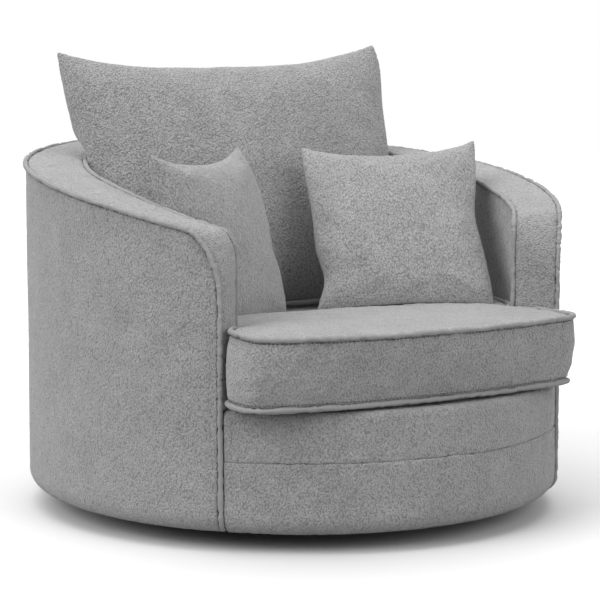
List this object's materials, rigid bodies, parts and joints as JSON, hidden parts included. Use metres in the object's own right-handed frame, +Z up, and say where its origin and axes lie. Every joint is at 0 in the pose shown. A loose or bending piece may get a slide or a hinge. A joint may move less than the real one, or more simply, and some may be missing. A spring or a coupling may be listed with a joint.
{
  "type": "swivel cuddle chair",
  "caption": "Wide round upholstered armchair that turns on a low hidden swivel base, with a T-shaped seat cushion, a tall back cushion and small scatter cushions.",
  "frame": {"origin": "on the floor under the swivel axis, which is the centre of the round tub in plan", "axes": "+Z up along the swivel axis, -Y towards the front of the chair, +X towards the arm on the right as seen from the front"},
  "size_m": [1.2104, 1.2857, 1.0397],
  "materials": {
    "boucle": "grey curly boucle, matt, short dense loops",
    "piping": "the same boucle cut on the bias over a cord",
    "foam": "cream polyurethane foam",
    "fibre": "white hollow-fibre filling",
    "felt": "recycled fibre felt",
    "black_lining": "black non-woven lining cloth",
    "zip_tape": "grey zip tape with moulded teeth",
    "plywood": "raw birch plywood",
    "black_board": "board painted satin black",
    "spring_steel": "oiled spring steel",
    "plated_steel": "zinc plated, satin",
    "black_nylon": "moulded nylon"
  },
  "bodies": {
    "base": {"floor_glide_1": "black_nylon", "floor_glide_2": "black_nylon", "floor_glide_3": "black_nylon", "floor_glide_4": "black_nylon", "base_board": "black_board", "swivel_pin": "plated_steel", "bearing_lower_plate": "plated_steel", "bearing_ball_cage": "plated_steel"},
    "tub": {"bearing_upper_plate": "plated_steel", "swivel_block": "plywood", "tub_board": "plywood", "swivel_bush": "black_nylon", "swivel_bolt_1": "plated_steel", "swivel_bolt_2": "plated_steel", "swivel_bolt_3": "plated_steel", "swivel_bolt_4": "plated_steel", "seat_rail": "plywood", "top_rail": "plywood", "upright_1": "plywood", "upright_2": "plywood", "upright_3": "plywood", "upright_4": "plywood", "upright_5": "plywood", "arm_post_right": "plywood", "arm_post_left": "plywood", "front_rail": "plywood", "front_spring_rail": "plywood", "rear_spring_rail": "plywood", "seat_spring_1": "spring_steel", "seat_spring_2": "spring_steel", "seat_spring_3": "spring_steel", "seat_spring_4": "spring_steel", "seat_spring_5": "spring_steel", "spring_clip_strip_front": "spring_steel", "spring_clip_strip_rear": "spring_steel", "spring_felt": "felt", "deck_cloth": "black_lining", "wall_foam": "foam", "border_foam": "foam", "hem_roll": "foam", "outer_cover": "boucle", "inner_cover": "boucle", "front_apron": "boucle", "front_border": "boucle", "dust_cloth": "black_lining", "border_strip": "boucle", "outer_welt": "piping", "inner_welt": "piping"},
    "seat": {"seat_cushion_cover": "boucle", "seat_cushion_foam": "foam", "seat_cushion_zip": "zip_tape", "seat_welt_top": "piping", "seat_welt_bottom": "piping"},
    "back": {"back_cushion_cover": "boucle", "back_cushion_filling": "fibre"},
    "scatter_right": {"scatter_right_cover": "boucle", "scatter_right_filling": "fibre"},
    "scatter_left": {"scatter_left_cover": "boucle", "scatter_left_filling": "fibre"}
  },
  "joints": [
    {"name": "swivel", "type": "hinge", "parent": "base", "child": "tub", "pos_m": [0, 0, 0.06], "axis": [0, 0, 1], "continuous": true},
    {"name": "seat_lift", "type": "slide", "parent": "tub", "child": "seat", "axis": [0, 0, 1], "range_m": [0, 0.15]},
    {"name": "back_lift", "type": "slide", "parent": "seat", "child": "back", "axis": [0, 0, 1], "range_m": [0, 0.2]},
    {"name": "scatter_right_lift", "type": "slide", "parent": "back", "child": "scatter_right", "axis": [0, 0, 1], "range_m": [0, 0.15]},
    {"name": "scatter_left_lift", "type": "slide", "parent": "back", "child": "scatter_left", "axis": [0, 0, 1], "range_m": [0, 0.15]}
  ]
}
